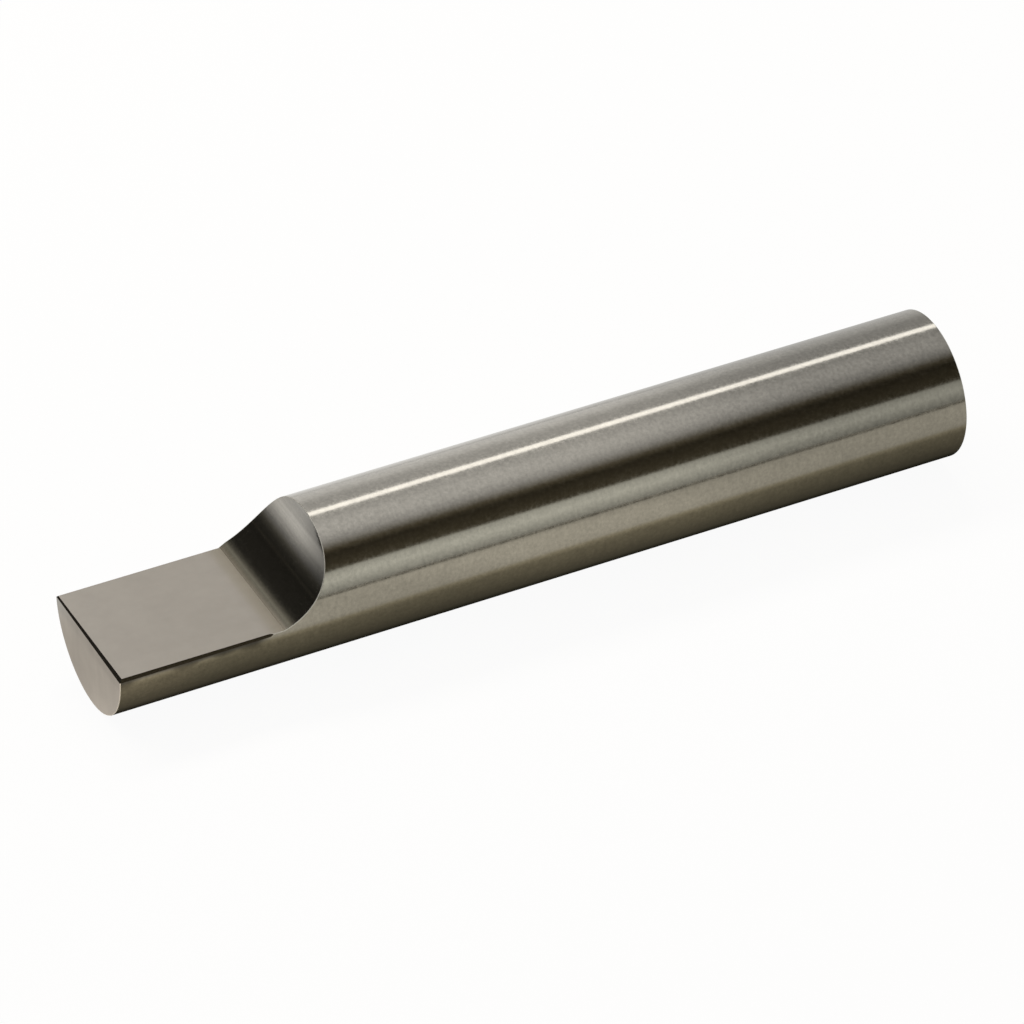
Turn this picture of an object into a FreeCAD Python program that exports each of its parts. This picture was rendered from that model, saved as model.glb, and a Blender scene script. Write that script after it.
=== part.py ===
import FreeCAD, Part
import math
import os

# Half-round engraving graver, ground from one solid carbide rod.
# The rear is a plain round shank. At the tip half of the rod is ground away to
# a flat, which climbs back to the full diameter through a concave run-out.
#
# Millimetres. X is the axis of the rod. The origin is on the axis at the rear
# face and +X points out of that face, so the tip is at minus the length.
# +Z is the normal of the flat.

# Driving dimensions of the rod
OVERALL_LENGTH = 36.0
SHANK_DIAMETER = 6.0

# The flat stands a few hundredths above the axis, which leaves stock for
# sharpening down to the centre.
FLAT_LENGTH = 6.7
FLAT_ABOVE_AXIS = 0.04

# The run-out is the print of the dressed corner of the grinding wheel. Its arc
# leaves the flat at a shallow slope and ends square to the axis.
RUNOUT_RADIUS = 3.2
RUNOUT_START_SLOPE_DEG = 17.0

# The edges of the flat are broken by hand at 45 degrees. The long edge at -Y is
# broken from the tip to just short of the run-out. The one at +Y is broken up to
# the run-out, and its break fades out on the arc.
NEAR_BREAK_AT_TIP = 0.11
NEAR_BREAK_AT_REAR = 0.085
NEAR_BREAK_SHORT_OF_RUNOUT = 0.43
NEAR_BREAK_FADE = 0.15
FAR_BREAK_AT_TIP = 0.09
FAR_BREAK_AT_REAR = 0.11
FAR_BREAK_PAST_FLAT = 0.4
FAR_BREAK_FADE = 0.45

# The front edge is stoned from one side, so its break is wider at -Y.
FRONT_BREAK_NEAR = 0.12
FRONT_BREAK_FAR = 0.06

# How far a cutter reaches past the surface that it removes
OVERRUN = 1.0

# Worked out from the dimensions above
RADIUS = SHANK_DIAMETER / 2
TIP_X = -OVERALL_LENGTH
FLAT_END_X = TIP_X + FLAT_LENGTH
FLAT_HALF_WIDTH = math.sqrt(RADIUS ** 2 - FLAT_ABOVE_AXIS ** 2)
START_SLOPE = math.radians(RUNOUT_START_SLOPE_DEG)
ARC_CENTRE_X = FLAT_END_X - RUNOUT_RADIUS * math.sin(START_SLOPE)
ARC_CENTRE_Z = FLAT_ABOVE_AXIS + RUNOUT_RADIUS * math.cos(START_SLOPE)


def rod():
    """The full round bar, square at both ends."""
    tip_centre = FreeCAD.Vector(TIP_X, 0, 0)
    return Part.makeCylinder(RADIUS, OVERALL_LENGTH, tip_centre, FreeCAD.Vector(1, 0, 0))


def in_profile(x, z):
    """A point of the side view, on the -Y side of the rod and clear of it."""
    return FreeCAD.Vector(x, -RADIUS - OVERRUN, z)


def ground_side():
    """The stock ground off above the flat: flat, concave arc, square shoulder."""
    middle = (START_SLOPE + math.pi / 2) / 2
    top_z = max(ARC_CENTRE_Z, RADIUS) + OVERRUN

    def on_arc(angle):
        return in_profile(
            ARC_CENTRE_X + RUNOUT_RADIUS * math.sin(angle),
            ARC_CENTRE_Z - RUNOUT_RADIUS * math.cos(angle),
        )

    flat_start = in_profile(TIP_X - OVERRUN, FLAT_ABOVE_AXIS)
    flat_end = on_arc(START_SLOPE)
    shoulder = on_arc(math.pi / 2)
    shoulder_top = in_profile(shoulder.x, top_z)
    above_tip = in_profile(flat_start.x, top_z)
    outline = Part.Wire(
        [
            Part.LineSegment(flat_start, flat_end).toShape(),
            Part.Arc(flat_end, on_arc(middle), shoulder).toShape(),
            Part.LineSegment(shoulder, shoulder_top).toShape(),
            Part.LineSegment(shoulder_top, above_tip).toShape(),
            Part.LineSegment(above_tip, flat_start).toShape(),
        ]
    )
    width = 2 * (RADIUS + OVERRUN)
    return Part.Face(outline).extrude(FreeCAD.Vector(0, width, 0))


def break_prism(start, end, outward):
    """Cutter at 45 degrees through the line from start to end on the flat.

    outward is the level direction from the flat towards the edge. The line may
    close on the edge, and then the break narrows along it.
    """
    reach = FreeCAD.Vector(outward).multiply(OVERRUN)
    rise = FreeCAD.Vector(0, 0, OVERRUN)
    inner = start - reach + rise
    lower = start + reach - rise
    corner = start + reach + rise
    section = Part.Face(Part.makePolygon([inner, lower, corner, inner]))
    return section.extrude(end - start)


def fading_size(x):
    """Break size at x with which the cutter only touches the ground edge there.

    It is zero on the flat and below zero on the arc, where the edge is higher.
    """
    if x <= FLAT_END_X:
        return 0.0
    height = ARC_CENTRE_Z - math.sqrt(RUNOUT_RADIUS ** 2 - (x - ARC_CENTRE_X) ** 2)
    half_width = math.sqrt(RADIUS ** 2 - height ** 2)
    return FLAT_HALF_WIDTH + FLAT_ABOVE_AXIS - half_width - height


def long_edge_breaks(side, at_tip, at_rear, length, fade):
    """Cutters for one long edge, with side +1 for +Y or -1 for -Y.

    The first is the break along the flat, and the second is where it fades out.
    """
    outward = FreeCAD.Vector(0, side, 0)
    taper = (at_rear - at_tip) / (length - fade)
    end_x = TIP_X + length
    stations = [
        (TIP_X - OVERRUN, at_tip - taper * OVERRUN),
        (end_x - fade, at_rear),
        (end_x, fading_size(end_x)),
    ]
    points = []
    for x, size in stations:
        points.append(FreeCAD.Vector(x, side * (FLAT_HALF_WIDTH - size), FLAT_ABOVE_AXIS))
    return [
        break_prism(points[0], points[1], outward),
        break_prism(points[1], points[2], outward),
    ]


def front_edge_break():
    """Cutter for the break between the flat and the front face."""
    outward = FreeCAD.Vector(-1, 0, 0)
    taper = (FRONT_BREAK_NEAR - FRONT_BREAK_FAR) / (2 * FLAT_HALF_WIDTH)
    half_length = FLAT_HALF_WIDTH + OVERRUN
    near_size = FRONT_BREAK_NEAR + taper * OVERRUN
    far_size = FRONT_BREAK_FAR - taper * OVERRUN
    near = FreeCAD.Vector(TIP_X + near_size, -half_length, FLAT_ABOVE_AXIS)
    far = FreeCAD.Vector(TIP_X + far_size, half_length, FLAT_ABOVE_AXIS)
    return break_prism(near, far, outward)


def graver():
    """The finished tool: bar, less the ground side, less the edge breaks."""
    near_length = FLAT_LENGTH - NEAR_BREAK_SHORT_OF_RUNOUT
    far_length = FLAT_LENGTH + FAR_BREAK_PAST_FLAT
    cutters = [
        *long_edge_breaks(-1, NEAR_BREAK_AT_TIP, NEAR_BREAK_AT_REAR, near_length, NEAR_BREAK_FADE),
        *long_edge_breaks(1, FAR_BREAK_AT_TIP, FAR_BREAK_AT_REAR, far_length, FAR_BREAK_FADE),
        front_edge_break(),
    ]
    return rod().cut(ground_side()).cut(cutters)


os.makedirs("parts", exist_ok=True)
tool = graver()
tool.Solids[0].exportStep("parts/graver.step")
print("graver: solids", len(tool.Solids), "valid", tool.isValid())
print("volume mm3", round(tool.Volume, 3), "faces", len(tool.Faces))
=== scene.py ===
"""Looks and studio for a half-round engraving graver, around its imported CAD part.

The graver is one rod of solid carbide. It lies on its round side with the
ground flat up, the tip at -X and the rear face on the origin.
"""

import logging
import math
from dataclasses import astuple, dataclass, field
from enum import Enum

import bmesh
import bpy
import numpy as np
from mathutils import Matrix, Vector


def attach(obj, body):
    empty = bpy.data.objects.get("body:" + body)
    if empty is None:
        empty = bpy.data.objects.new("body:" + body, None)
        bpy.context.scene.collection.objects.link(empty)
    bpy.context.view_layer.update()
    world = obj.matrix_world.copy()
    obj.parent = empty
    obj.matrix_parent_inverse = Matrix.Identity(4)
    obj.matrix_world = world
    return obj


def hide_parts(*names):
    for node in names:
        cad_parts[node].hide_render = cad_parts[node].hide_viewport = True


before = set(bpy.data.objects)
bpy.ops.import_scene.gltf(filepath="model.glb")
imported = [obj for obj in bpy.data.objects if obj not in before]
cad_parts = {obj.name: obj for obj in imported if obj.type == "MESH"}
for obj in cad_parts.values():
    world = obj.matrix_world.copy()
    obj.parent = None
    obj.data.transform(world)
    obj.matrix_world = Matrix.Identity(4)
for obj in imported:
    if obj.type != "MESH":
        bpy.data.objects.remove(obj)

LOG = logging.getLogger("graver")
MILLIMETRE = 0.001
NODE = "graver"
BODY = "root"
TOUCH = 1e-6

BMesh = bmesh.types.BMesh
BMVert = bmesh.types.BMVert
Node = bpy.types.Node
Socket = bpy.types.NodeSocket
Colour = tuple[float, float, float]
Triple = tuple[float, float, float]


class Surface(Enum):
    """The ground surfaces of the graver, in the order of its material slots."""

    SHANK = 0
    FLAT = 1
    RUN_OUT = 2
    END_FACE = 3
    EDGE_BREAK = 4
    RIM = 5


class Column(Enum):
    """Places along a node tree, left to right, as a distance in the editor."""

    PLACE = -1400
    PATTERN = -1100
    SHAPE = -800
    MIX = -500
    SURFACE = -200
    OUTPUT = 100


@dataclass(frozen=True)
class GroundProfile:
    """Side view of the ground tip, in millimetres from the rear face.

    The flat runs from the tip to a crease, and an arc climbs from there to the
    top of the rod.
    """

    length: float = 36.0
    radius: float = 3.0
    flat_length: float = 6.7
    flat_height: float = 0.04
    arc_radius: float = 3.2
    start_slope: float = math.radians(17.0)

    @property
    def tip_x(self) -> float:
        """Where the front face is."""
        return -self.length

    @property
    def crease_x(self) -> float:
        """Where the flat ends and the arc begins."""
        return self.tip_x + self.flat_length

    @property
    def arc_x(self) -> float:
        """Place of the arc's axis along the rod."""
        return self.crease_x - self.arc_radius * math.sin(self.start_slope)

    @property
    def arc_z(self) -> float:
        """Height of the arc's axis."""
        return self.flat_height + self.arc_radius * math.cos(self.start_slope)

    @property
    def half_width(self) -> float:
        """Half of the flat's width."""
        return math.sqrt(self.radius**2 - self.flat_height**2)

    def slope_at(self, height: float) -> float:
        """Slope of the arc at a height.

        Args:
            height: height above the axis of the rod.

        Returns:
            The angle between the arc and the flat, in radians.
        """
        return math.acos(min(1.0, max(-1.0, (self.arc_z - height) / self.arc_radius)))

    def x_at(self, height: float) -> float:
        """Place of the arc along the rod at a height.

        Args:
            height: height above the axis of the rod.

        Returns:
            The distance from the rear face, negative towards the tip.
        """
        return self.arc_x + self.arc_radius * math.sin(self.slope_at(height))

    def fading_size(self, x: float) -> float:
        """Size of a 45 degree break that only touches the ground edge.

        Args:
            x: place along the rod.

        Returns:
            Zero on the flat, and less on the arc, where the edge is higher.
        """
        if x <= self.crease_x:
            return 0.0
        height = self.arc_z - math.sqrt(self.arc_radius**2 - (x - self.arc_x) ** 2)
        beside = math.sqrt(self.radius**2 - height**2)
        return self.half_width + self.flat_height - beside - height


@dataclass(frozen=True)
class LongBreak:
    """The break of one long edge, in millimetres, with its side +1 at +Y or -1 at -Y."""

    side: int
    at_tip: float
    at_rear: float
    length: float
    fade: float

    def line(self, profile: GroundProfile, reach: float) -> list[Vector]:
        """Places on the flat that the break's inner edge runs through.

        Args:
            profile: the side view that the break belongs to.
            reach: how far the line starts before the tip.

        Returns:
            Before the tip, where the fade starts, and where it ends.
        """
        taper = (self.at_rear - self.at_tip) / (self.length - self.fade)
        end = profile.tip_x + self.length
        sizes = (
            (profile.tip_x - reach, self.at_tip - taper * reach),
            (end - self.fade, self.at_rear),
            (end, profile.fading_size(end)),
        )
        return [
            Vector((x, self.side * (profile.half_width - size), profile.flat_height))
            for x, size in sizes
        ]


@dataclass(frozen=True)
class EdgeBreaks:
    """The edges of the flat, broken at 45 degrees with a stone, in millimetres."""

    near: LongBreak = LongBreak(-1, at_tip=0.11, at_rear=0.085, length=6.27, fade=0.15)
    far: LongBreak = LongBreak(1, at_tip=0.09, at_rear=0.11, length=7.1, fade=0.45)
    front_near: float = 0.12
    front_far: float = 0.06
    reach: float = 1.0

    def prism(self, start: Vector, end: Vector, outward: Vector, name: str) -> bpy.types.Object:
        """A cutter of triangular section along a line on the flat.

        Args:
            start: first point of the line.
            end: last point of the line.
            outward: level direction from the flat towards the edge.
            name: name of the cutter.

        Returns:
            The cutter as an object.
        """
        rise = Vector((0.0, 0.0, self.reach))
        side = outward * self.reach
        bm = bmesh.new()
        for corner in (start - side + rise, start + side - rise, start + side + rise):
            bmesh.ops.create_vert(bm, co=corner)
        section = bmesh.ops.contextual_create(bm, geom=bm.verts[:])["faces"]
        moved = bmesh.ops.extrude_face_region(bm, geom=section, use_keep_orig=True)
        ends = [item for item in moved["geom"] if isinstance(item, BMVert)]
        bmesh.ops.translate(bm, verts=ends, vec=end - start)
        bmesh.ops.recalc_face_normals(bm, faces=bm.faces)
        for face in bm.faces:
            face.material_index = Surface.EDGE_BREAK.value
        return object_of(bm, name)

    def cutters(self, profile: GroundProfile) -> list[bpy.types.Object]:
        """The cutters for the two long edges and the front edge.

        Args:
            profile: the side view that the breaks belong to.

        Returns:
            The cutters, ready to be taken off the rod.
        """
        made = []
        for name, edge in (("near", self.near), ("far", self.far)):
            line = edge.line(profile, self.reach)
            outward = Vector((0.0, edge.side, 0.0))
            made.append(self.prism(line[0], line[1], outward, f"{name}_break_cutter"))
            made.append(self.prism(line[1], line[2], outward, f"{name}_fade_cutter"))
        widen = (self.front_near - self.front_far) / (2 * profile.half_width) * self.reach
        span = profile.half_width + self.reach
        near = Vector((profile.tip_x + self.front_near + widen, -span, profile.flat_height))
        far = Vector((profile.tip_x + self.front_far - widen, span, profile.flat_height))
        made.append(self.prism(near, far, Vector((-1.0, 0.0, 0.0)), "front_break_cutter"))
        return made


def object_of(bm: BMesh, name: str) -> bpy.types.Object:
    """Makes an object of a bmesh and frees the bmesh.

    Args:
        bm: the finished bmesh.
        name: name of the object and of its mesh.

    Returns:
        The object, linked to the scene.
    """
    mesh = bpy.data.meshes.new(name)
    bm.to_mesh(mesh)
    bm.free()
    made = bpy.data.objects.new(name, mesh)
    bpy.context.scene.collection.objects.link(made)
    return made


@dataclass(frozen=True)
class Change:
    """A smooth change from one number to another between two places."""

    start: float
    end: float
    at_start: float
    at_end: float


class NodeTree:
    """Adds nodes to a material, world or group, and links them."""

    def __init__(self, tree: bpy.types.NodeTree) -> None:
        """Keeps the tree, which starts empty."""
        self.tree = tree
        tree.nodes.clear()

    def add(self, kind: str, column: Column, row: int, **settings: object) -> Node:
        """Adds one node.

        Args:
            kind: the node's type name.
            column: its place from left to right.
            row: its place from top to bottom.
            **settings: properties of the node to set.

        Returns:
            The node.
        """
        node = self.tree.nodes.new(kind)
        node.location = (column.value, -200 * row)
        for name, value in settings.items():
            setattr(node, name, value)
        return node

    def link(self, source: Socket, target: Socket) -> None:
        """Links an output to an input."""
        self.tree.links.new(source, target)

    def math(self, work: str, column: Column, row: int, *terms: object) -> Socket:
        """Adds a Math node on numbers or outputs.

        Args:
            work: the operation.
            column: its place from left to right.
            row: its place from top to bottom.
            *terms: numbers, or outputs to link.

        Returns:
            The node's output.
        """
        node = self.add("ShaderNodeMath", column, row, operation=work)
        self.feed(node.inputs, terms)
        return node.outputs[0]

    def feed(self, inputs: object, terms: tuple) -> None:
        """Sets inputs in order from numbers, or links them to outputs."""
        for socket, term in zip(inputs, terms):
            if isinstance(term, Socket):
                self.link(term, socket)
            else:
                socket.default_value = term

    def times(self, column: Column, row: int, *terms: object) -> Socket:
        """Adds a product of two vectors or colours.

        Args:
            column: its place from left to right.
            row: its place from top to bottom.
            *terms: the outputs to multiply.

        Returns:
            The node's output.
        """
        node = self.add("ShaderNodeVectorMath", column, row, operation="MULTIPLY")
        self.feed(node.inputs, terms)
        return node.outputs[0]

    def smooth(
        self, value: Socket, change: Change, row: int, column: Column = Column.PATTERN
    ) -> Socket:
        """Adds a smooth change from one number to another.

        Args:
            value: what it reads.
            change: where the change is, and the numbers before and after it.
            row: its place from top to bottom.
            column: its place from left to right.

        Returns:
            The node's output.
        """
        node = self.add("ShaderNodeMapRange", column, row, interpolation_type="SMOOTHSTEP")
        self.feed(node.inputs, (value, *astuple(change)))
        return node.outputs[0]

    def mirrored(self, path: Node, row: int) -> Socket:
        """1 for a ray that metal or glass sends on, and 0 for any other."""
        rays = (path.outputs["Is Glossy Ray"], path.outputs["Is Transmission Ray"])
        return self.math("MAXIMUM", Column.PATTERN, row, *rays)

    def show(self, shader: Node, output: str = "ShaderNodeOutputMaterial") -> None:
        """Links a shader to the output of the tree."""
        self.link(shader.outputs[0], self.add(output, Column.OUTPUT, 0).inputs["Surface"])

    def glow(self, colour: Socket, strength: Socket) -> None:
        """Ends the tree in light.

        Args:
            colour: the colour of the light.
            strength: its strength.
        """
        shader = self.add("ShaderNodeEmission", Column.SURFACE, 0)
        self.feed(shader.inputs, (colour, strength))
        self.show(shader)

    def unlit(self) -> Socket:
        """1 for a ray that has met no dull surface, and 0 for one that has.

        What metal mirrors reads this, so that it doesn't light the floor by way of
        the metal.
        """
        path = self.add("ShaderNodeLightPath", Column.PLACE, 4)
        met = self.math("MINIMUM", Column.PATTERN, 4, path.outputs["Diffuse Depth"], 1.0)
        return self.math("SUBTRACT", Column.SHAPE, 4, 1.0, met)

    def ramp(
        self, value: Socket, stops: tuple[tuple[float, Colour], ...], column: Column, row: int
    ) -> Socket:
        """Adds a colour ramp.

        Args:
            value: what the ramp reads.
            stops: places and their colours.
            column: its place from left to right.
            row: its place from top to bottom.

        Returns:
            The ramp's colour output.
        """
        node = self.add("ShaderNodeValToRGB", column, row)
        elements = node.color_ramp.elements
        elements.remove(elements[1])
        for number, (place, colour) in enumerate(stops):
            element = elements.new(place) if number else elements[0]
            element.position = place
            element.color = (*colour, 1.0)
        self.link(value, node.inputs["Fac"])
        return node.outputs["Color"]


def new_material(name: str) -> tuple[bpy.types.Material, NodeTree]:
    """Makes a material with no nodes yet.

    Args:
        name: name of the material.

    Returns:
        The material and its node tree.
    """
    material = bpy.data.materials.new(name)
    material.use_nodes = True
    return material, NodeTree(material.node_tree)


class ShaderGroup:
    """A node group with named inputs and outputs, built once."""

    def __init__(self, name: str, inputs: dict[str, object], outputs: tuple[str, ...]) -> None:
        """Makes the group and its sockets.

        Args:
            name: name of the group.
            inputs: names of the inputs with their default numbers, or None for a vector.
            outputs: names of the value outputs.
        """
        self.group = bpy.data.node_groups.new(name, "ShaderNodeTree")
        for label, default in inputs.items():
            kind = "NodeSocketVector" if default is None else "NodeSocketFloat"
            socket = self.group.interface.new_socket(label, in_out="INPUT", socket_type=kind)
            if default is not None:
                socket.default_value = default
        for label in outputs:
            self.group.interface.new_socket(label, in_out="OUTPUT", socket_type="NodeSocketFloat")
        self.nodes = NodeTree(self.group)
        self.given = self.nodes.add("NodeGroupInput", Column.PLACE, 0).outputs
        self.result = self.nodes.add("NodeGroupOutput", Column.OUTPUT, 0).inputs

    def place(self, into: NodeTree, row: int, vector: Socket, **values: float) -> Node:
        """Puts the group in a material.

        Args:
            into: the material's nodes.
            row: its place from top to bottom.
            vector: the coordinates that it reads.
            **values: numbers for its inputs, with _ for a space.

        Returns:
            The group node.
        """
        node = into.add("ShaderNodeGroup", Column.PATTERN, row)
        node.node_tree = self.group
        into.link(vector, node.inputs["Vector"])
        for label, value in values.items():
            node.inputs[label.replace("_", " ")].default_value = value
        return node


class GrindingMarks(ShaderGroup):
    """Fine wheel marks, drawn out along two of the axes."""

    def __init__(self) -> None:
        """Builds the group: two noises of different size, drawn out alike."""
        sizes = {"Vector": None, "Per X": 20.0, "Per Y": 2.0, "Per Z": 2.0, "Coarse": 0.3}
        super().__init__("grinding_marks", sizes, ("Height", "Streak"))
        nodes = self.nodes
        stretch = nodes.add("ShaderNodeCombineXYZ", Column.PATTERN, 1)
        for axis, label in enumerate(("Per X", "Per Y", "Per Z")):
            nodes.link(self.given[label], stretch.inputs[axis])
        fine = nodes.times(Column.SHAPE, 0, self.given["Vector"], stretch.outputs[0])
        wide = nodes.add("ShaderNodeVectorMath", Column.SHAPE, 1, operation="SCALE")
        nodes.link(fine, wide.inputs[0])
        nodes.link(self.given["Coarse"], wide.inputs["Scale"])
        heights = []
        for row, scaled in enumerate((fine, wide.outputs[0])):
            noise = nodes.add("ShaderNodeTexNoise", Column.MIX, row)
            noise.inputs["Scale"].default_value = 1.0
            noise.inputs["Detail"].default_value = 2.0
            nodes.link(scaled, noise.inputs["Vector"])
            heights.append(noise.outputs["Fac"])
        both = nodes.math("ADD", Column.SURFACE, 0, *heights)
        nodes.link(nodes.math("MULTIPLY", Column.SURFACE, 1, both, 0.5), self.result["Height"])
        nodes.link(heights[1], self.result["Streak"])


class CarbideGrain(ShaderGroup):
    """The speckle of sintered carbide under a fine grind, with a few dark pits."""

    def __init__(self) -> None:
        """Builds the group: grain, broad mottle and pits."""
        sizes = {"Vector": None, "Grain": 14.0, "Mottle": 0.9, "Pits": 1.2}
        super().__init__("carbide_grain", sizes, ("Grain", "Mottle", "Pit"))
        nodes = self.nodes
        for row, (label, detail) in enumerate((("Grain", 3.0), ("Mottle", 2.0))):
            noise = nodes.add("ShaderNodeTexNoise", Column.SHAPE, row)
            noise.inputs["Detail"].default_value = detail
            noise.inputs["Roughness"].default_value = 0.6
            nodes.link(self.given["Vector"], noise.inputs["Vector"])
            nodes.link(self.given[label], noise.inputs["Scale"])
            nodes.link(noise.outputs["Fac"], self.result[label])
        cells = nodes.add("ShaderNodeTexVoronoi", Column.SHAPE, 2)
        nodes.link(self.given["Vector"], cells.inputs["Vector"])
        nodes.link(self.given["Pits"], cells.inputs["Scale"])
        pit = nodes.smooth(cells.outputs["Distance"], Change(0.02, 0.05, 1.0, 0.0), 2, Column.MIX)
        nodes.link(pit, self.result["Pit"])


class PaintedShadeEdge(ShaderGroup):
    """A mask along an edge, with an uneven and soft outer side, for painted shade."""

    def __init__(self) -> None:
        """Builds the group from the distance to the edge and a noise."""
        sizes = {"Vector": None, "Distance": 1.0, "Width": 0.1, "Ragged": 12.0}
        super().__init__("painted_shade_edge", sizes, ("Mask",))
        nodes = self.nodes
        noise = nodes.add("ShaderNodeTexNoise", Column.SHAPE, 0)
        nodes.link(self.given["Vector"], noise.inputs["Vector"])
        nodes.link(self.given["Ragged"], noise.inputs["Scale"])
        noise.inputs["Detail"].default_value = 0.0
        reach = nodes.math("MULTIPLY", Column.MIX, 0, noise.outputs["Fac"], self.given["Width"])
        share = nodes.math("DIVIDE", Column.MIX, 1, self.given["Distance"], reach)
        mask = nodes.smooth(share, Change(0.1, 2.0, 1.0, 0.0), 1, Column.SURFACE)
        nodes.link(mask, self.result["Mask"])


@dataclass(frozen=True)
class GroundFinish:
    """One ground finish of the carbide.

    Colours are linear. The marks and the grain are given per millimetre. The
    bands are painted light and shade at places along the rod, in millimetres
    from the rear face.
    """

    name: str
    colour: Colour
    roughness: float
    roughness_spread: float
    marks_per_mm: Triple
    mark_shade: float
    grain_per_mm: float
    grain_shade: float
    mottle_shade: float
    pit_shade: float
    bump: float
    bands: tuple[tuple[float, Colour], ...] = ()


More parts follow.
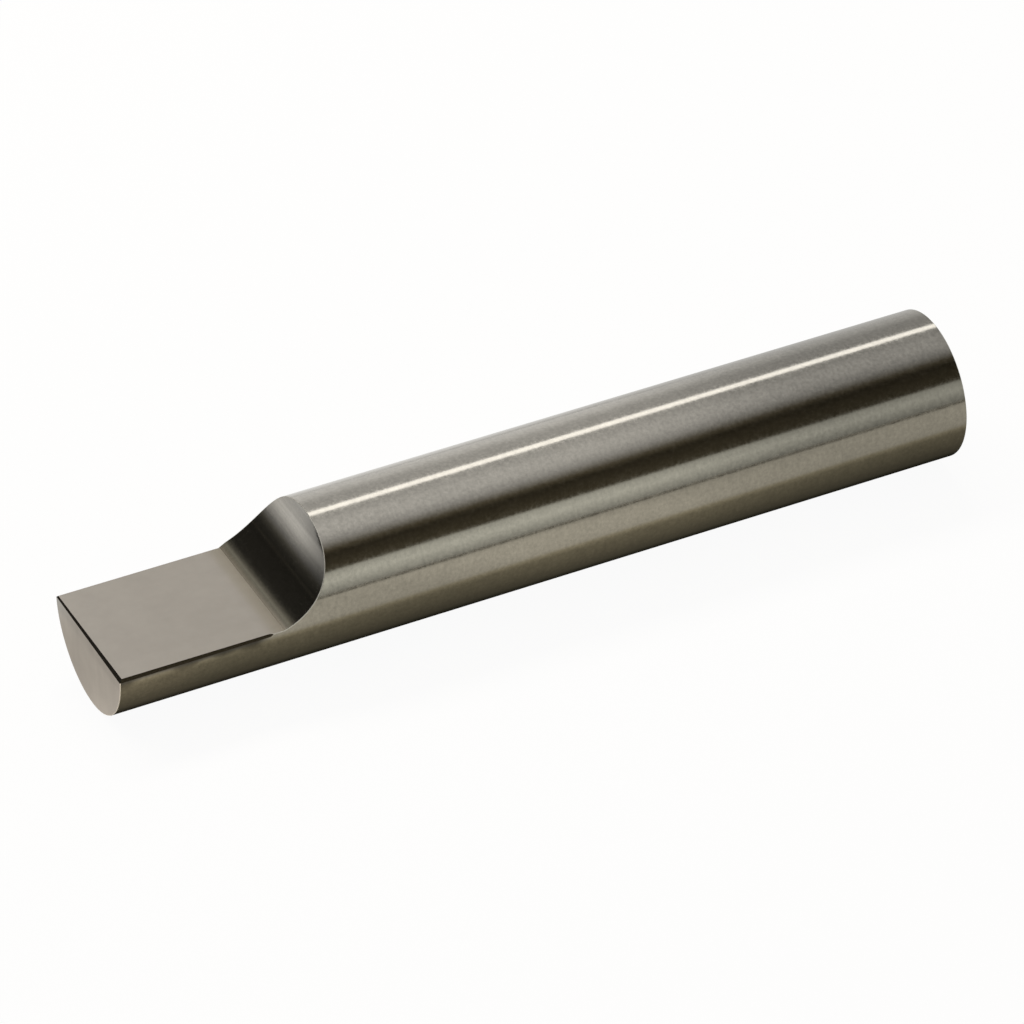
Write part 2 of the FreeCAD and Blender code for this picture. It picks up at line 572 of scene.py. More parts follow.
@dataclass
class FinishBook:
    """Makes the materials of the graver from shared shader groups.

    Places and widths are in millimetres. The painted edge shade is painted shade on
    the shank along the near break, and it stops short of the run-out, as the break
    does.
    """

    profile: GroundProfile
    marks: GrindingMarks = field(default_factory=GrindingMarks)
    grain: CarbideGrain = field(default_factory=CarbideGrain)
    painted_edge_shade: PaintedShadeEdge = field(default_factory=PaintedShadeEdge)
    # Painted shade along the near break: its width, waves, where it stops and its strength.
    painted_shade_width: float = 0.36
    painted_shade_waves_per_mm: float = 1.2
    painted_shade_stops_short: float = 0.43
    painted_shade_fade: float = 0.7
    painted_shade_strength: float = 0.8
    # Painted shade on the near side of the run-out, high up.
    near_side_painted_shade: Change = Change(0.4, -2.6, 0.0, 0.65)
    high_up_painted_shade: Change = Change(-28.0, -27.45, 0.0, 1.0)
    # Painted light across the flat, lighter towards +Y.
    flat_painted_light_across: Change = Change(-3.0, 3.0, 0.965, 1.03)
    # Painted shade on the end faces, darker above a height just under the flat.
    face_painted_shade_high_up: Change = Change(-0.75, -0.3, 1.0, 0.86)

    def finishes(self) -> dict[Surface, GroundFinish]:
        """The finish of each surface, matched to the photograph."""
        return {
            Surface.SHANK: GroundFinish(
                "shank_ground", (0.31, 0.295, 0.268), 0.13, 0.07, (20.0, 5.0, 5.0),
                0.11, 7.0, 0.28, 0.06, 0.28, 0.0007,
                # Painted light and shade along the shank: lighter at the tip, a little darker towards
                # the rear face.
                bands=(
                    (-36.0, (1.14, 1.12, 1.12)),
                    (-34.0, (1.06, 1.04, 1.04)),
                    (-32.0, (0.98, 0.98, 0.98)),
                    (-20.0, (1.0, 1.0, 1.0)),
                    (-14.0, (1.0, 1.0, 1.0)),
                    (-6.0, (0.94, 0.945, 0.95)),
                    (0.0, (0.95, 0.955, 0.96)),
                ),
            ),
            Surface.FLAT: GroundFinish(
                # The flat's colour is a little lighter than the shank's, as painted light.
                "flat_ground", (0.330, 0.303, 0.272), 0.30, 0.02, (2.0, 7.0, 7.0),
                0.02, 2.5, 0.04, 0.06, 0.0, 0.0001,
                # Painted light and shade along the flat: lighter at the tip, darker and warmer
                # towards the crease.
                bands=(
                    (-36.0, (1.03, 1.03, 1.03)),
                    (-33.0, (0.975, 0.975, 0.97)),
                    (-30.1, (0.955, 0.955, 0.95)),
                    (-29.88, (0.93, 0.925, 0.91)),
                    (-29.62, (0.82, 0.81, 0.75)),
                    (-29.42, (0.77, 0.75, 0.68)),
                    (-29.3, (0.70, 0.68, 0.60)),
                ),
            ),
            Surface.RUN_OUT: GroundFinish(
                "run_out_ground", (0.31, 0.295, 0.268), 0.13, 0.06, (22.0, 0.25, 22.0),
                0.18, 9.0, 0.14, 0.08, 0.10, 0.0008,
                # Painted shade and painted highlights along the run-out: a dark warm band at the
                # crease, and light and dark lines across the arc.
                bands=(
                    (-29.30, (0.88, 0.82, 0.72)),
                    (-29.22, (0.88, 0.83, 0.75)),
                    (-29.15, (0.90, 0.88, 0.84)),
                    (-29.11, (0.93, 0.93, 0.92)),
                    (-29.06, (1.05, 1.07, 1.07)),
                    (-28.98, (1.0, 1.0, 1.0)),
                    (-28.12, (1.0, 1.0, 1.0)),
                    (-28.05, (0.84, 0.84, 0.82)),
                    (-27.98, (1.0, 1.0, 1.0)),
                    (-27.93, (1.40, 1.36, 1.30)),
                    (-27.87, (1.0, 1.0, 1.0)),
                ),
            ),
            Surface.END_FACE: GroundFinish(
                "end_face_ground", (0.31, 0.295, 0.268), 0.30, 0.04, (2.0, 9.0, 0.8),
                0.10, 7.0, 0.08, 0.14, 0.10, 0.0005,
            ),
            Surface.EDGE_BREAK: GroundFinish(
                "edge_break_stoned", (0.27, 0.25, 0.22), 0.16, 0.05, (1.0, 20.0, 20.0),
                0.10, 14.0, 0.08, 0.05, 0.05, 0.0003,
            ),
            Surface.RIM: GroundFinish(
                # Painted highlight: the rim is lighter than the carbide, and lighter still at the
                # tip.
                "rim_painted_highlight", (0.58, 0.56, 0.525), 0.45, 0.08, (20.0, 4.0, 4.0),
                0.10, 14.0, 0.10, 0.05, 0.05, 0.0003,
                bands=(
                    (-35.8, (1.40, 1.38, 1.36)),
                    (-30.0, (0.75, 0.75, 0.74)),
                    (0.0, (0.75, 0.75, 0.74)),
                ),
            ),
        }

    def material(self, surface: Surface) -> bpy.types.Material:
        """Makes the material of one surface.

        Args:
            surface: which of the ground surfaces.

        Returns:
            The material, with its patterns in Object coordinates.
        """
        finish = self.finishes()[surface]
        made, nodes = new_material(finish.name)
        place = nodes.add("ShaderNodeTexCoord", Column.PLACE, 0)
        in_mm = nodes.add("ShaderNodeMapping", Column.PLACE, 1)
        in_mm.inputs["Scale"].default_value = (1 / MILLIMETRE,) * 3
        nodes.link(place.outputs["Object"], in_mm.inputs["Vector"])
        vector = in_mm.outputs["Vector"]
        split = nodes.add("ShaderNodeSeparateXYZ", Column.PLACE, 2)
        nodes.link(vector, split.inputs[0])
        per_x, per_y, per_z = finish.marks_per_mm
        marks = self.marks.place(nodes, 0, vector, Per_X=per_x, Per_Y=per_y, Per_Z=per_z)
        grain = self.grain.place(nodes, 2, vector, Grain=finish.grain_per_mm)
        shade = self.shade(nodes, finish, marks, grain)
        local = self.local_shade(nodes, surface, vector, split)
        if local is not None:
            shade = nodes.math("MULTIPLY", Column.MIX, 5, shade, local)
        colour = nodes.add("ShaderNodeVectorMath", Column.MIX, 0, operation="SCALE")
        colour.inputs[0].default_value = finish.colour
        nodes.link(shade, colour.inputs["Scale"])
        painted = colour.outputs[0]
        if finish.bands:
            bands = self.bands(nodes, finish, split.outputs["X"])
            painted = nodes.times(Column.MIX, 1, painted, bands)
        shader = nodes.add("ShaderNodeBsdfPrincipled", Column.SURFACE, 0)
        shader.inputs["Metallic"].default_value = 1.0
        nodes.link(painted, shader.inputs["Base Color"])
        low = finish.roughness - finish.roughness_spread / 2
        high = low + finish.roughness_spread
        rough = nodes.add("ShaderNodeMapRange", Column.MIX, 2)
        nodes.feed(rough.inputs, (grain.outputs["Grain"], 0.3, 0.7, low, high))
        nodes.link(rough.outputs[0], shader.inputs["Roughness"])
        relief = nodes.math("ADD", Column.MIX, 3, marks.outputs["Height"], grain.outputs["Grain"])
        bump = nodes.add("ShaderNodeBump", Column.MIX, 4)
        bump.inputs["Distance"].default_value = finish.bump * MILLIMETRE
        nodes.link(relief, bump.inputs["Height"])
        nodes.link(bump.outputs["Normal"], shader.inputs["Normal"])
        nodes.show(shader)
        return made

    def bands(self, nodes: NodeTree, finish: GroundFinish, along: Socket) -> Socket:
        """The painted light and shade of a finish by the place along the rod.

        Args:
            nodes: the material's nodes.
            finish: the finish with its bands.
            along: the place along the rod, in millimetres.

        Returns:
            The output that holds the shade as a colour.
        """
        first, last = finish.bands[0][0], finish.bands[-1][0]
        share = nodes.add("ShaderNodeMapRange", Column.PATTERN, 6)
        nodes.feed(share.inputs, (along, first, last, 0.0, 1.0))
        stops = tuple(((x - first) / (last - first), colour) for x, colour in finish.bands)
        return nodes.ramp(share.outputs[0], stops, Column.SHAPE, 12)

    def shade(self, nodes: NodeTree, finish: GroundFinish, marks: Node, grain: Node) -> Socket:
        """How light or dark the carbide is at each point, around 1.

        Args:
            nodes: the material's nodes.
            finish: the finish.
            marks: the placed marks group.
            grain: the placed grain group.

        Returns:
            The output that holds the shade.
        """
        parts = (
            (marks.outputs["Streak"], finish.mark_shade),
            (grain.outputs["Grain"], finish.grain_shade),
            (grain.outputs["Mottle"], finish.mottle_shade),
        )
        total: object = 1.0
        for row, (source, strength) in enumerate(parts):
            centred = nodes.math("SUBTRACT", Column.SHAPE, row, source, 0.5)
            scaled = nodes.math("MULTIPLY", Column.SHAPE, row + 3, centred, 2 * strength)
            total = nodes.math("ADD", Column.SHAPE, row + 6, total, scaled)
        pits = nodes.math("MULTIPLY", Column.SHAPE, 9, grain.outputs["Pit"], finish.pit_shade)
        return nodes.math("SUBTRACT", Column.SHAPE, 10, total, pits)

    def local_shade(
        self, nodes: NodeTree, surface: Surface, vector: Socket, place: Node
    ) -> Socket | None:
        """Painted shade and painted light at one place of a surface.

        Args:
            nodes: the material's nodes.
            surface: which of the ground surfaces.
            vector: coordinates in millimetres.
            place: the node with the same coordinates one by one.

        Returns:
            A shade to multiply by, or None where the surface is even.
        """
        along, across, up = (place.outputs[axis] for axis in "XYZ")
        # Painted light across the flat, lighter towards +Y.
        if surface is Surface.FLAT:
            return nodes.smooth(across, self.flat_painted_light_across, 7)
        # Painted shade on the end faces, darker above a height just under the flat.
        if surface is Surface.END_FACE:
            return nodes.smooth(up, self.face_painted_shade_high_up, 7)
        # Painted shade on the shank under the near break, fading out before the run-out.
        if surface is Surface.SHANK:
            painted_edge_shade = self.painted_edge_shade.place(
                nodes, 5, vector, Width=self.painted_shade_width, Ragged=self.painted_shade_waves_per_mm
            )
            below = nodes.math("MULTIPLY", Column.PLACE, 6, up, -1.0)
            nodes.link(below, painted_edge_shade.inputs["Distance"])
            end = self.profile.crease_x - self.painted_shade_stops_short
            fade = nodes.smooth(along, Change(end - self.painted_shade_fade, end, self.painted_shade_strength, 0.0), 7)
            taken = (painted_edge_shade.outputs["Mask"], fade)
        # Painted shade on the near side of the run-out, high up.
        elif surface is Surface.RUN_OUT:
            near = nodes.smooth(across, self.near_side_painted_shade, 7)
            taken = (near, nodes.smooth(along, self.high_up_painted_shade, 8))
        else:
            return None
        dark = nodes.math("MULTIPLY", Column.SHAPE, 13, *taken)
        return nodes.math("SUBTRACT", Column.SHAPE, 14, 1.0, dark)


@dataclass
class GraverRod:
    """The graver itself: a round rod with a ground flat and a concave run-out."""

    profile: GroundProfile
    breaks: EdgeBreaks = field(default_factory=EdgeBreaks)
    upper_columns: int = 112
    lower_columns: int = 160
    angle_samples: int = 4000
    rear_zone: float = -1.0
    rim_width: float = 0.025
    rim_segments: int = 2
    crest_z: float = 2.93
    weld: float = 1e-5
    smooth_up_to: float = math.radians(35.0)

    def column_angles(self) -> list[float]:
        """Angles of the lengthwise lines, from straight up towards -Y.

        The lines above the flat are spread so that both the shank and the
        run-out are finely divided.

        Returns:
            The angles in radians, once round the rod.
        """
        edge = math.acos(self.profile.flat_height / self.profile.radius)
        fine = np.linspace(0.0, edge, self.angle_samples)
        heights = self.profile.radius * np.cos(fine)
        slopes = np.array([self.profile.slope_at(height) for height in heights])
        spread = fine / edge + (slopes[0] - slopes) / (slopes[0] - slopes[-1])
        wanted = np.linspace(0.0, spread[-1], self.upper_columns + 1)
        upper = np.interp(wanted, spread, fine)
        lower = np.linspace(edge, 2 * math.pi - edge, self.lower_columns + 1)[1:-1]
        return [float(a) for a in (*upper, *lower, *(2 * math.pi - upper[:0:-1]))]

    def skin(self, bm: BMesh) -> None:
        """Makes the round skin, up to the rim of the run-out and on to the tip below the flat.

        Args:
            bm: the bmesh to build in.
        """
        profile = self.profile
        angles = self.column_angles()
        ring = bmesh.ops.create_circle(bm, segments=len(angles), radius=profile.radius)["verts"]
        for vert, angle in zip(ring, angles):
            vert.co = (0.0, -profile.radius * math.sin(angle), profile.radius * math.cos(angle))
        rear = bm.edges[:]
        bmesh.ops.contextual_create(bm, geom=rear)
        drawn = bmesh.ops.extrude_edge_only(bm, edges=rear)["geom"]
        rim = [item for item in drawn if isinstance(item, BMVert)]
        for vert in rim:
            above = vert.co.z > profile.flat_height + TOUCH
            vert.co.x = profile.x_at(vert.co.z) if above else profile.crease_x
        known = set(rim)
        below = [
            edge
            for edge in bm.edges
            if set(edge.verts) <= known
            and max(v.co.z for v in edge.verts) < profile.flat_height + TOUCH
        ]
        drawn = bmesh.ops.extrude_edge_only(bm, edges=below)["geom"]
        for vert in (item for item in drawn if isinstance(item, BMVert)):
            vert.co.x = profile.tip_x

    def ends(self, bm: BMesh) -> None:
        """Closes the skin with the run-out, the flat and the front face.

        Args:
            bm: the bmesh that holds the skin.
        """
        profile = self.profile
        rim = [
            edge
            for edge in bm.edges
            if edge.is_boundary
            and min(v.co.z for v in edge.verts) > profile.flat_height - TOUCH
            and max(v.co.x for v in edge.verts) < self.rear_zone
            and min(v.co.x for v in edge.verts) > profile.crease_x - TOUCH
        ]
        top = max((v for edge in rim for v in edge.verts), key=lambda v: v.co.z)
        beside = [edge.other_vert(top) for edge in top.link_edges if edge in rim]
        sides = [edge for edge in rim if top not in edge.verts]
        run_out = bmesh.ops.bridge_loops(bm, edges=sides)["faces"]
        run_out += bmesh.ops.contextual_create(bm, geom=[top, *beside])["faces"]
        corners = [
            vert
            for vert in bm.verts
            if abs(vert.co.z - profile.flat_height) < TOUCH and vert.co.x < self.rear_zone
        ]
        flat = bmesh.ops.contextual_create(bm, geom=corners)["faces"]
        front = [
            edge
            for edge in bm.edges
            if all(abs(vert.co.x - profile.tip_x) < TOUCH for vert in edge.verts)
        ]
        face = bmesh.ops.contextual_create(bm, geom=front)["faces"]
        kinds = (Surface.RUN_OUT, Surface.FLAT, Surface.END_FACE)
        for surface, group in zip(kinds, (run_out, flat, face)):
            for made in group:
                made.material_index = surface.value
        for made in bm.faces:
            if all(abs(vert.co.x) < TOUCH for vert in made.verts):
                made.material_index = Surface.END_FACE.value
        bmesh.ops.recalc_face_normals(bm, faces=bm.faces)

    def join_crest(self, bm: BMesh) -> None:
        """Joins the thin facets at the top of the run-out, where a rim has no room.

        Args:
            bm: the closed rod.
        """
        between = [
            edge
            for edge in bm.edges
            if all(vert.co.z > self.crest_z for vert in edge.verts)
            and all(face.material_index == Surface.RUN_OUT.value for face in edge.link_faces)
        ]
        bmesh.ops.dissolve_edges(bm, edges=between, use_verts=False)

    def soften(self, bm: BMesh) -> None:
        """Rounds every outer edge by a few hundredths of a millimetre, as a ground edge is.

        Args:
            bm: the closed rod.
        """
        self.join_crest(bm)
        outer = [
            edge
            for edge in bm.edges
            if len({face.material_index for face in edge.link_faces}) > 1 and edge.is_convex
        ]
        made = bmesh.ops.bevel(
            bm,
            geom=outer,
            offset=self.rim_width,
            offset_type="OFFSET",
            segments=self.rim_segments,
            profile=0.5,
            affect="EDGES",
            clamp_overlap=False,
            material=Surface.RIM.value,
        )
        for vert in bm.verts:
            vert.co.y = max(-self.profile.radius, min(self.profile.radius, vert.co.y))
        LOG.info("rims: %d edges rounded into %d faces", len(outer), len(made["faces"]))

    def cut(self, rod: bpy.types.Object, materials: list[bpy.types.Material]) -> None:
        """Takes the edge breaks off the rod and keeps the result as its mesh.

        Args:
            rod: the rod, with its materials.
            materials: the materials, in slot order.
        """
        cutters = self.breaks.cutters(self.profile)
        for cutter in cutters:
            for material in materials:
                cutter.data.materials.append(material)
            taken = rod.modifiers.new(cutter.name, "BOOLEAN")
            taken.operation = "DIFFERENCE"
            taken.solver = "EXACT"
            taken.object = cutter
        depsgraph = bpy.context.evaluated_depsgraph_get()
        finished = bpy.data.meshes.new_from_object(rod.evaluated_get(depsgraph))
        rod.modifiers.clear()
        rod.data = finished
        for cutter in cutters:
            bpy.data.objects.remove(cutter)

    def finish_mesh(self, rod: bpy.types.Object) -> None:
        """Shades each surface smooth within itself, and puts the mesh in metres.

        Args:
            rod: the cut rod.
        """
        bm = bmesh.new()
        bm.from_mesh(rod.data)
        bmesh.ops.remove_doubles(bm, verts=bm.verts, dist=self.weld)
        bmesh.ops.dissolve_degenerate(bm, dist=self.weld, edges=bm.edges)
        for face in bm.faces:
            face.smooth = True
        for edge in bm.edges:
            kinds = {face.material_index for face in edge.link_faces}
            edge.smooth = len(kinds) == 1 and edge.calc_face_angle(0.0) < self.smooth_up_to
        bmesh.ops.scale(bm, vec=(MILLIMETRE,) * 3, verts=bm.verts)
        bm.to_mesh(rod.data)
        bm.free()
        rod.data.name = rod.name

    def build(self, finishes: FinishBook) -> bpy.types.Object:
        """Builds the graver and dresses it.

        Args:
            finishes: where the materials come from.

        Returns:
            The finished piece, riding on its body.
        """
        bm = bmesh.new()
        self.skin(bm)
        self.ends(bm)
        self.soften(bm)
        rod = object_of(bm, "graver_rod")
        materials = [finishes.material(surface) for surface in Surface]
        for material in materials:
            rod.data.materials.append(material)
        self.cut(rod, materials)
        self.finish_mesh(rod)
        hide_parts(NODE)
        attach(rod, BODY)
        return rod


def faulty_edges(obj: bpy.types.Object) -> tuple[int, int]:
    """Counts what is wrong with a mesh that should be closed.

    Args:
        obj: the object to look at.

    Returns:
        The number of open edges and the number of edges with more than two faces.
    """
    bm = bmesh.new()
    bm.from_mesh(obj.data)
    loose = sum(len(edge.link_faces) < 2 for edge in bm.edges)
    crowded = sum(len(edge.link_faces) > 2 for edge in bm.edges)
    bm.free()
    return loose, crowded


@dataclass
class PaleFloor:
    """The pale sheet that the graver lies on."""

    height: float = -3.0
    half_size: float = 1500.0
    colour: Colour = (0.86, 0.82, 0.765)
    white_to_camera: float = 0.95
    white_to_metal: float = 0.02

    def build(self) -> bpy.types.Object:
        """Makes the floor, white where it is looked at, which keeps a soft shadow.

        Returns:
            The floor, which isn't part of the object.
        """
        bm = bmesh.new()
        bmesh.ops.create_grid(bm, x_segments=1, y_segments=1, size=self.half_size * MILLIMETRE)
        bmesh.ops.translate(bm, verts=bm.verts, vec=(0.0, 0.0, self.height * MILLIMETRE))
        floor = object_of(bm, "pale_floor")
        material, nodes = new_material("pale_sheet")
        path = nodes.add("ShaderNodeLightPath", Column.PLACE, 0)
        camera = path.outputs["Is Camera Ray"]
        seen = nodes.math("MULTIPLY", Column.SHAPE, 0, camera, self.white_to_camera)
        mirrored = nodes.mirrored(path, 1)
        shown = nodes.math("MULTIPLY", Column.SHAPE, 1, mirrored, self.white_to_metal)
        share = nodes.math("ADD", Column.MIX, 0, seen, shown)
        paper = nodes.add("ShaderNodeBsdfDiffuse", Column.MIX, 1)
        paper.inputs["Color"].default_value = (*self.colour, 1.0)
        white = nodes.add("ShaderNodeEmission", Column.MIX, 2)
        mix = nodes.add("ShaderNodeMixShader", Column.SURFACE, 0)
        nodes.feed(mix.inputs, (share, paper.outputs[0], white.outputs[0]))
        nodes.show(mix)
        floor.data.materials.append(material)
        return floor


@dataclass
class StudioWorld:
    """White all round to the eye and to metal, and a warm light from above as a lamp."""

    as_lamp: float = 0.98
    lamp_colour: Colour = (1.0, 0.92, 0.72)
    spread: float = 3.5

    def build(self) -> bpy.types.World:
        """Makes the world.

        Returns:
            The world, set in the scene.
        """
        world = bpy.data.worlds.new("white_studio")
        bpy.context.scene.world = world
        world.use_nodes = True
        nodes = NodeTree(world.node_tree)
        path = nodes.add("ShaderNodeLightPath", Column.PLACE, 0)
        mirrored = nodes.mirrored(path, 0)
        seen = nodes.math("MAXIMUM", Column.SHAPE, 0, mirrored, path.outputs["Is Camera Ray"])
        shown = nodes.math("MULTIPLY", Column.SHAPE, 1, seen, nodes.unlit())
        way = nodes.add("ShaderNodeTexCoord", Column.PLACE, 2)
        split = nodes.add("ShaderNodeSeparateXYZ", Column.PATTERN, 2)
        nodes.link(way.outputs["Generated"], split.inputs[0])
        above = nodes.math("MAXIMUM", Column.PATTERN, 3, split.outputs["Z"], 0.0)
        faded = nodes.math("POWER", Column.SHAPE, 2, above, self.spread)
        lamp = nodes.add("ShaderNodeVectorMath", Column.SHAPE, 3, operation="SCALE")
        lamp.inputs[0].default_value = tuple(self.as_lamp * part for part in self.lamp_colour)
        nodes.link(faded, lamp.inputs["Scale"])
        light = nodes.add("ShaderNodeMix", Column.MIX, 0, data_type="RGBA")
        nodes.link(shown, light.inputs["Factor"])
        nodes.link(lamp.outputs[0], light.inputs["A"])
        light.inputs["B"].default_value = (1.0, 1.0, 1.0, 1.0)
        back = nodes.add("ShaderNodeBackground", Column.SURFACE, 0)
        nodes.link(light.outputs["Result"], back.inputs["Color"])
        nodes.show(back, "ShaderNodeOutputWorld")
        return world


class Tint(Enum):
    """The colour of the light that a piece of the studio gives."""

    WHITE = (1.0, 0.99, 0.96)
    LAMP = (1.0, 0.985, 0.95)
    GAP = (1.0, 0.84, 0.52)
    FRONT = (1.0, 1.005, 0.90)
    DARK = (1.0, 0.95, 0.78)
    NEAR_TIP = (1.0, 0.92, 0.83)
    SHEET = (1.0, 0.94, 0.75)
    PAPER_LIT = (1.0, 0.955, 0.82)
    PAPER_SHADED = (1.0, 0.90, 0.63)

    def at(self, light: float) -> Colour:
        """The colour at a strength of light."""
        return tuple(light * part for part in self.value)


@dataclass(frozen=True)
class TentBand:
    """A place round the tent, in degrees from straight up towards the camera, and its light."""

    angle: float
    light: float
    tint: Tint = Tint.WHITE


@dataclass
class LightTent:
    """The tent over the graver, which its metal mirrors.

    It is bright cloth with a dark gap for the camera. It lights nothing, because
    the world and the lamp do. Towards the rear the gap's upper side moves up by
    gap_widens degrees, and this fades out between the two angles of still_below.
    """

    radius: float = 110.0
    start: float = -91.0
    end: float = 91.5
    x_from: float = -260.0
    x_to: float = 420.0
    steps: int = 96
    bright_to: float = 27.0
    dim_from: float = 43.0
    dim: float = 0.68
    gap_widens: float = 4.0
    still_below: tuple[float, float] = (45.0, 55.0)
    bands: tuple[TentBand, ...] = (
        TentBand(-91.0, 1.12),
        TentBand(-75.0, 1.20),
        TentBand(-58.0, 0.88),
        TentBand(-23.0, 0.90),
        TentBand(-7.0, 1.14),
        TentBand(5.0, 1.08),
        TentBand(17.0, 0.74),
        TentBand(29.0, 0.16, Tint.GAP),
        TentBand(36.0, 0.046, Tint.GAP),
        TentBand(59.2, 0.12, Tint.GAP),
        TentBand(60.8, 0.92, Tint.FRONT),
        TentBand(73.0, 1.20, Tint.FRONT),
        TentBand(81.0, 0.92, Tint.FRONT),
        TentBand(89.0, 0.63, Tint.FRONT),
        TentBand(91.5, 0.42, Tint.FRONT),
    )

    def build(self) -> bpy.types.Object:
        """Makes the tent by spinning a line round the axis of the rod.

        Returns:
            The tent, which isn't part of the object and which the camera can't see.
        """
        bm = bmesh.new()
        turn = math.radians(self.start)
        across = Vector((0.0, -math.sin(turn), math.cos(turn))) * self.radius
        for x in (self.x_from, self.x_to):
            bmesh.ops.create_vert(bm, co=Vector((x, 0.0, 0.0)) + across)
        line = bmesh.ops.contextual_create(bm, geom=bm.verts[:])["edges"]
        bmesh.ops.spin(
            bm,
            geom=line + bm.verts[:],
            cent=(0.0, 0.0, 0.0),
            axis=(1.0, 0.0, 0.0),
            angle=math.radians(self.end - self.start),
            steps=self.steps,
            use_merge=False,
        )
        bmesh.ops.scale(bm, vec=(MILLIMETRE,) * 3, verts=bm.verts)
        for face in bm.faces:
            face.smooth = True
        tent = object_of(bm, "light_tent")
        tent.data.materials.append(self.cloth())
        only_in_metal(tent)
        return tent

    def cloth(self) -> bpy.types.Material:
        """The tent's material: light by the angle round the rod.

        Returns:
            The material.
        """
        material, nodes = new_material("tent_cloth")
        place = nodes.add("ShaderNodeTexCoord", Column.PLACE, 0)
        split = nodes.add("ShaderNodeSeparateXYZ", Column.PLACE, 1)
        nodes.link(place.outputs["Object"], split.inputs[0])
        front = nodes.math("MULTIPLY", Column.PATTERN, 0, split.outputs["Y"], -1.0)
        angle = nodes.math("ARCTAN2", Column.PATTERN, 1, front, split.outputs["Z"])
        near, far = self.bright_to * MILLIMETRE, self.dim_from * MILLIMETRE
        widening = Change(near, far, 0.0, math.radians(self.gap_widens))
        rear = nodes.smooth(split.outputs["X"], widening, 5)
        upper, lower = (math.radians(side) for side in self.still_below)
        inner = nodes.smooth(angle, Change(upper, lower, 1.0, 0.0), 6)
        wider = nodes.math("MULTIPLY", Column.SHAPE, 5, rear, inner)
        turned = nodes.math("ADD", Column.SHAPE, 6, angle, wider)
        share = nodes.add("ShaderNodeMapRange", Column.PATTERN, 2)
        low, high = math.radians(self.start), math.radians(self.end)
        nodes.feed(share.inputs, (turned, low, high, 0.0, 1.0))
        most = max(band.light for band in self.bands)
        span = self.end - self.start
        stops = tuple(
            ((band.angle - self.start) / span, band.tint.at(band.light / most))
            for band in self.bands
        )
        light = nodes.ramp(share.outputs[0], stops, Column.SHAPE, 0)
        dimming = Change(near, far, most, most * self.dim)
        along = nodes.smooth(split.outputs["X"], dimming, 1, Column.SHAPE)
        nodes.glow(light, nodes.math("MULTIPLY", Column.MIX, 1, along, nodes.unlit()))
        return material


@dataclass(frozen=True)
class Grade:
    """The light of a card at a share of its length or height."""

    share: float
    light: float
    tint: Tint = Tint.WHITE


def graded(*places: tuple[float, float], tint: Tint = Tint.WHITE) -> tuple[Grade, ...]:
    """Grades of one tint, from pairs of share and light."""
    return tuple(Grade(share, light, tint) for share, light in places)


@dataclass
class MirrorCard:
    """A card that only metal sees, with its light graded along it and across it.

    Its sizes and place are in millimetres. It lies face up where no facing is
    given, and ends at cut_at_x where that is given.
    """

    name: str
    middle: Triple
    along: Triple
    length: float
    height: float
    grades: tuple[Grade, ...]
    across: tuple[Grade, ...] = graded((0.0, 1.0), (1.0, 1.0))
    facing: Triple = (0.0, 0.0, 1.0)
    cut_at_x: float | None = None

    def build(self) -> bpy.types.Object:
        """Makes the card.

        Returns:
            The card, which isn't part of the object and which the camera can't see.
        """
        along = Vector(self.along).normalized()
        out = Vector(self.facing)
        out = (out - along * out.dot(along)).normalized()
        bm = bmesh.new()
        bmesh.ops.create_grid(bm, x_segments=1, y_segments=1, size=0.5, calc_uvs=False)
        share = bm.loops.layers.uv.new("share")
        for face in bm.faces:
            for loop in face.loops:
                loop[share].uv = (loop.vert.co.x + 0.5, loop.vert.co.y + 0.5)
        bmesh.ops.scale(bm, vec=(self.length, self.height, 1.0), verts=bm.verts)
        turn = Matrix((along, out.cross(along), out)).transposed().to_4x4()
        place = Matrix.Translation(Vector(self.middle)) @ turn
        bmesh.ops.transform(bm, matrix=Matrix.Scale(MILLIMETRE, 4) @ place, verts=bm.verts)
        if self.cut_at_x is not None:
            bmesh.ops.bisect_plane(
                bm,
                geom=bm.verts[:] + bm.edges[:] + bm.faces[:],
                plane_co=(self.cut_at_x * MILLIMETRE, 0.0, 0.0),
                plane_no=(1.0, 0.0, 0.0),
                clear_outer=True,
            )
        card = object_of(bm, self.name)
        card.data.materials.append(self.paint())
        only_in_metal(card)
        return card

    def paint(self) -> bpy.types.Material:
        """The card's material: light by the place along it and across it.

        Returns:
            The material.
        """
        material, nodes = new_material(self.name)
        place = nodes.add("ShaderNodeUVMap", Column.PLACE, 0, uv_map="share")
        split = nodes.add("ShaderNodeSeparateXYZ", Column.PATTERN, 0)
        nodes.link(place.outputs["UV"], split.inputs[0])
        most = max(grade.light for grade in self.grades)
        lengthwise = tuple((grade.share, grade.tint.at(grade.light / most)) for grade in self.grades)
        crosswise = tuple((grade.share, (grade.light,) * 3) for grade in self.across)
        along = nodes.ramp(split.outputs["X"], lengthwise, Column.SHAPE, 0)
        across = nodes.ramp(split.outputs["Y"], crosswise, Column.SHAPE, 1)
        strength = nodes.math("MULTIPLY", Column.MIX, 1, nodes.unlit(), most)
        nodes.glow(nodes.times(Column.MIX, 0, along, across), strength)
        return material


def only_in_metal(obj: bpy.types.Object) -> None:
    """Hides a studio piece from the camera, diffuse light, shadows and transmission, so that only
    reflections show it.
    """
    obj.visible_camera = False
    obj.visible_diffuse = False
    obj.visible_shadow = False
    obj.visible_transmission = False


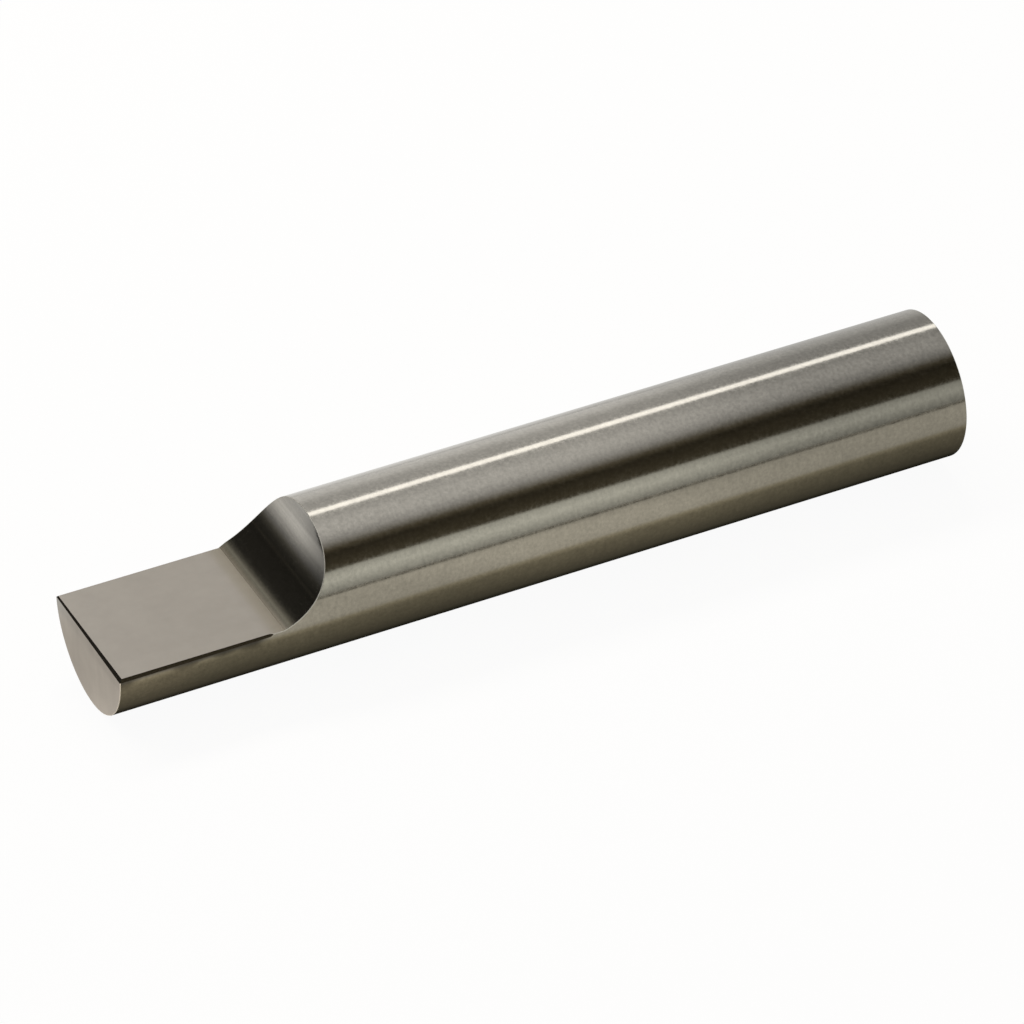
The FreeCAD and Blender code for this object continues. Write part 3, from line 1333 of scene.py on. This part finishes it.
@dataclass
class SoftLamp:
    """The lamp above and behind, which lights the floor and throws the shadow."""

    angle: float = -34.0
    distance: float = 200.0
    width: float = 52.0
    length: float = 240.0
    middle_x: float = -60.0
    power: float = 0.37
    colour: Colour = (1.0, 0.985, 0.95)

    def build(self) -> bpy.types.Object:
        """Makes the lamp. Metal mirrors the bright card instead of it.

        Returns:
            The lamp, aimed at the axis of the rod.
        """
        data = bpy.data.lights.new("soft_lamp", "AREA")
        data.shape = "RECTANGLE"
        data.size = self.length * MILLIMETRE
        data.size_y = self.width * MILLIMETRE
        data.energy = self.power
        data.color = self.colour
        lamp = bpy.data.objects.new("soft_lamp", data)
        turn = math.radians(self.angle)
        out = Vector((0.0, -math.sin(turn), math.cos(turn)))
        along = Vector((1.0, 0.0, 0.0))
        middle = out * self.distance + along * self.middle_x
        facing = Matrix((along, out.cross(along), out)).transposed().to_4x4()
        lamp.matrix_world = Matrix.Translation(middle * MILLIMETRE) @ facing
        lamp.visible_camera = False
        lamp.visible_glossy = False
        bpy.context.scene.collection.objects.link(lamp)
        return lamp


def studio_cards() -> list[MirrorCard]:
    """The cards round the graver.

    Returns:
        The long bright card of the line on the shank, the dark card behind the
        tip, the low edge of the sheet in front and the sheet itself, and the
        white cards that lie on the floor behind the shank and behind the tip. The
        last ends at the tip, so that it isn't under the tool.
    """
    return [
        MirrorCard(
            name="bright_strip",
            middle=(32.0, 57.8, 81.6),
            along=(1.0, 0.072, -0.050),
            length=165.0,
            height=14.4,
            grades=graded((0.0, 3.3), (1.0, 3.3), tint=Tint.LAMP),
            facing=(0.0, -0.578, -0.816),
        ),
        MirrorCard(
            name="card_behind_tip",
            middle=(-76.0, 69.0, 45.0),
            along=(-0.673, 0.0, -0.739),
            length=112.0,
            height=90.0,
            grades=(
                *graded((0.0, 0.90), (0.08, 0.78), (0.112, 0.62)),
                *graded(
                    (0.15, 0.42), (0.20, 0.40), (0.215, 0.36), (0.245, 0.13), (0.285, 0.05),
                    (0.33, 0.032), (0.66, 0.029), (0.72, 0.035), (0.78, 0.055), (0.845, 0.13),
                    tint=Tint.DARK,
                ),
                *graded((0.905, 0.30), (0.97, 0.52), (1.0, 0.58)),
            ),
            facing=(0.5, -0.73, -0.47),
        ),
        MirrorCard(
            name="sheet_edge",
            middle=(40.0, -45.0, -2.08),
            along=(1.0, 0.0, 0.0),
            length=260.0,
            height=1.84,
            grades=graded((0.0, 0.17), (1.0, 0.17), tint=Tint.SHEET),
            facing=(0.0, 1.0, 0.0),
        ),
        # The sheet in front carries the rod's painted shadow, darkest under the rod, and painted
        # light that changes along the rod; only the metal sees it.
        MirrorCard(
            name="paper_with_painted_shadow",
            middle=(4.0, -22.5, -2.995),
            along=(0.0, -1.0, 0.0),
            length=45.0,
            height=82.0,
            grades=(
                *graded(
                    (0.0, 0.015), (0.036, 0.02), (0.042, 0.04), (0.0462, 0.08), (0.0511, 0.11),
                    (0.0611, 0.155), (0.0733, 0.22), (0.0889, 0.279), (0.110, 0.345), (0.1245, 0.57),
                    tint=Tint.PAPER_SHADED,
                ),
                *graded(
                    (0.140, 0.83), (0.164, 0.89), (0.198, 0.925), (0.324, 0.945), (0.489, 0.93),
                    (1.0, 0.92),
                    tint=Tint.PAPER_LIT,
                ),
            ),
            across=graded(
                (0.0, 1.15), (0.037, 1.12), (0.073, 1.0), (0.11, 0.97), (0.159, 0.90), (0.195, 0.88),
                (0.22, 0.95), (0.244, 1.02), (0.323, 1.0), (0.36, 0.91), (0.396, 0.87), (0.439, 0.80),
                (0.494, 0.83), (1.0, 0.83),
            ),
        ),
        MirrorCard(
            name="white_card_close_behind",
            middle=(47.25, 15.0, -2.95),
            along=(0.0, 1.0, 0.0),
            length=18.0,
            height=166.5,
            grades=graded(
                (0.0, 0.77), (0.11, 0.78), (0.167, 0.80), (0.267, 0.90), (0.417, 0.985),
                (0.667, 1.02), (1.0, 1.04),
            ),
            across=graded(
                (0.0, 0.70), (0.736, 0.70), (0.774, 0.72), (0.793, 0.75), (0.814, 0.81),
                (0.8345, 0.90), (0.856, 0.95), (0.89, 1.0),
            ),
        ),
        MirrorCard(
            name="white_card_behind",
            middle=(47.25, 75.0, -2.95),
            along=(0.0, 1.0, 0.0),
            length=102.0,
            height=166.5,
            grades=graded((0.0, 1.04), (0.25, 1.05), (0.45, 1.13), (1.0, 1.16)),
            across=graded((0.0, 0.74), (0.735, 0.74), (0.783, 0.82), (0.822, 0.93), (0.851, 1.0)),
        ),
        MirrorCard(
            name="white_card_behind_tip",
            middle=(-73.7, 45.4, -2.99),
            along=(-0.67, 0.74, 0.0),
            length=120.0,
            height=20.0,
            grades=(
                *graded(
                    (0.0, 1.17), (0.009, 1.15), (0.0135, 1.05), (0.021, 1.0), (0.027, 0.97),
                    (0.036, 0.96), (0.046, 1.0),
                    tint=Tint.NEAR_TIP,
                ),
                *graded(
                    (0.06, 1.12), (0.12, 1.15), (0.157, 1.08), (0.21, 0.93), (0.31, 0.77),
                    (0.40, 0.70), (0.55, 0.62), (1.0, 0.57),
                ),
            ),
            across=graded((0.0, 1.0), (0.40, 1.0), (0.47, 0.86), (1.0, 0.86)),
            cut_at_x=-36.0,
        ),
    ]


@dataclass
class PhotoCamera:
    """The camera at the photograph's viewing angle, in millimetres."""

    place: Triple = (-100.959, -169.161, 137.041)
    right: Triple = (0.894427, -0.44704, -0.01251)
    up: Triple = (0.272319, 0.522234, 0.808154)
    back: Triple = (-0.354744, -0.726241, 0.588838)
    lens: float = 213.872
    sensor: float = 36.0

    def build(self) -> bpy.types.Object:
        """Makes the camera and hands it to the scene.

        Returns:
            The camera.
        """
        data = bpy.data.cameras.new("photo_camera")
        data.lens = self.lens
        data.sensor_width = self.sensor
        data.clip_start = 0.01
        data.clip_end = 20.0
        camera = bpy.data.objects.new("photo_camera", data)
        turn = Matrix((self.right, self.up, self.back)).transposed().to_4x4()
        camera.matrix_world = Matrix.Translation(Vector(self.place) * MILLIMETRE) @ turn
        bpy.context.scene.collection.objects.link(camera)
        bpy.context.scene.camera = camera
        return camera


def main() -> None:
    """Builds the graver and its studio, and logs the rod's faces and faulty edges."""
    logging.basicConfig(level=logging.INFO, format="%(name)s: %(message)s")
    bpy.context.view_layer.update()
    PhotoCamera().build()
    StudioWorld().build()
    PaleFloor().build()
    LightTent().build()
    SoftLamp().build()
    for card in studio_cards():
        card.build()
    profile = GroundProfile()
    rod = GraverRod(profile).build(FinishBook(profile))
    loose, crowded = faulty_edges(rod)
    faces = len(rod.data.polygons)
    LOG.info("%s: %d faces, %d open edges, %d crowded", rod.name, faces, loose, crowded)
    bpy.context.scene.view_settings.view_transform = "Standard"


if __name__ == "__main__":
    main()
